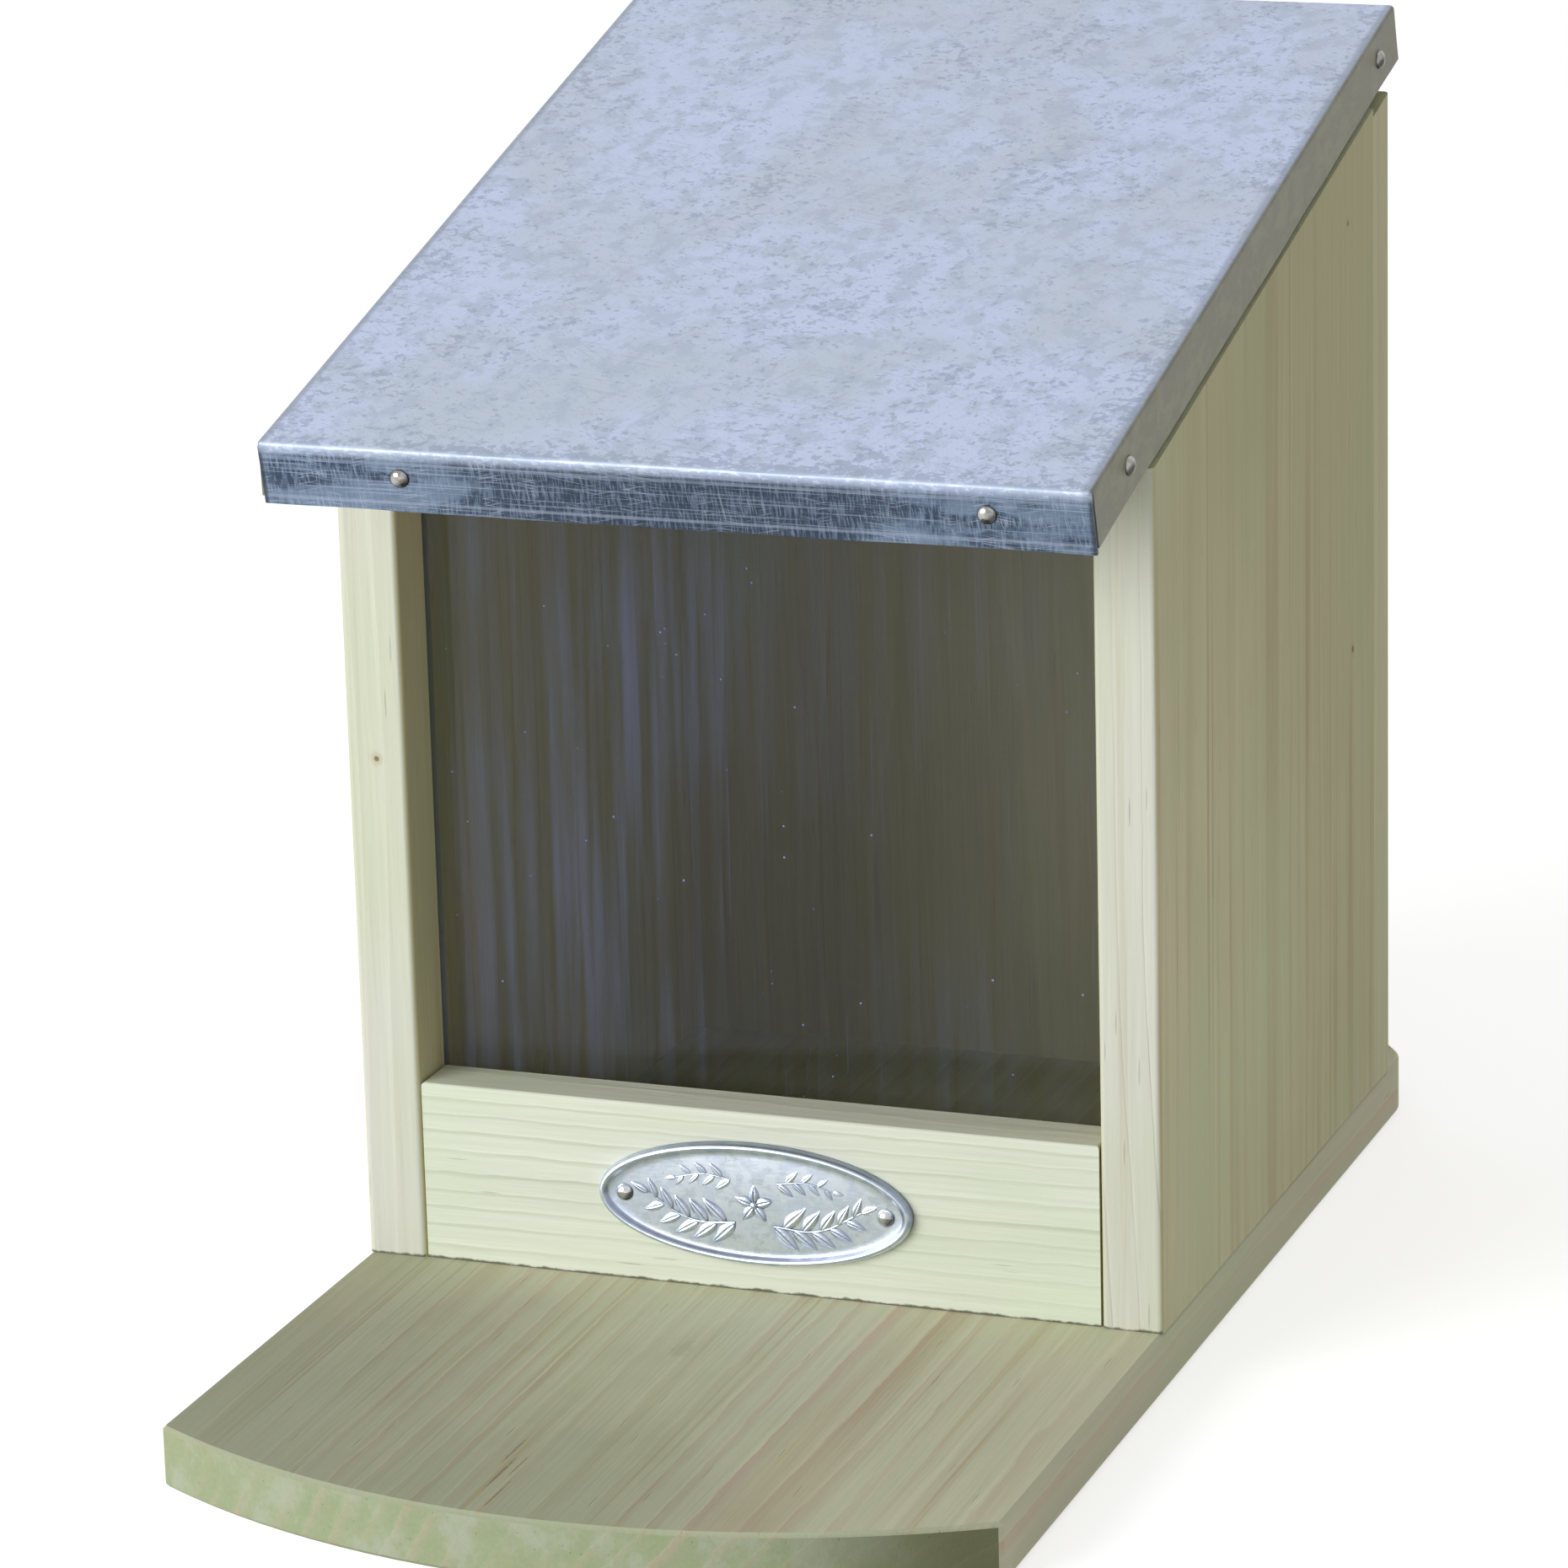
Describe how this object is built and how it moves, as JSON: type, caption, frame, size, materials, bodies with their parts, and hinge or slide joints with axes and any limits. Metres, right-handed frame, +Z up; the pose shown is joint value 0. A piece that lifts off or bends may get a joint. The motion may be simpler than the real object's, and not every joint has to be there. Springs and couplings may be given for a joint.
{
  "type": "squirrel feeder box",
  "caption": "Treated-pine squirrel feeder with a bowed landing, a clear front window, an oval badge and a sloping metal-capped lid that lifts on rear hinges.",
  "frame": {"origin": "middle of the base board's footprint, on its underside", "axes": "+X to the right seen from the front, +Y to the back, +Z up"},
  "size_m": [0.123, 0.227, 0.1771],
  "materials": {
    "treated_pine": "pressure-treated, planed, pale green tint",
    "clear_acrylic": "clear, lightly scratched",
    "galvanised_sheet": "hot-dip galvanised, mottled",
    "nail_steel": "bright zinc, domed heads",
    "badge_aluminium": "satin, pressed",
    "zinc_plated_steel": "zinc plated",
    "screw_steel": "zinc plated"
  },
  "bodies": {
    "box": {"base_board": "treated_pine", "left_side_panel": "treated_pine", "right_side_panel": "treated_pine", "front_board": "treated_pine", "back_board": "treated_pine", "window_pane": "clear_acrylic", "badge_plate": "badge_aluminium", "badge_pins": "nail_steel", "hinge_fixed_leaves": "zinc_plated_steel", "hinge_pins": "zinc_plated_steel", "hinge_body_screws": "screw_steel", "base_screws": "screw_steel", "back_board_nails": "nail_steel"},
    "lid": {"roof_board": "treated_pine", "roof_sheet": "galvanised_sheet", "front_roof_nails": "nail_steel", "left_roof_nails": "nail_steel", "right_roof_nails": "nail_steel", "hinge_moving_leaves": "zinc_plated_steel", "hinge_roof_screws": "screw_steel"}
  },
  "joints": [
    {"name": "lid_hinge", "type": "hinge", "parent": "box", "child": "lid", "pos_m": [0, 0.09965, 0.16439], "axis": [-1, 0, 0], "range_deg": [0, 100]}
  ]
}
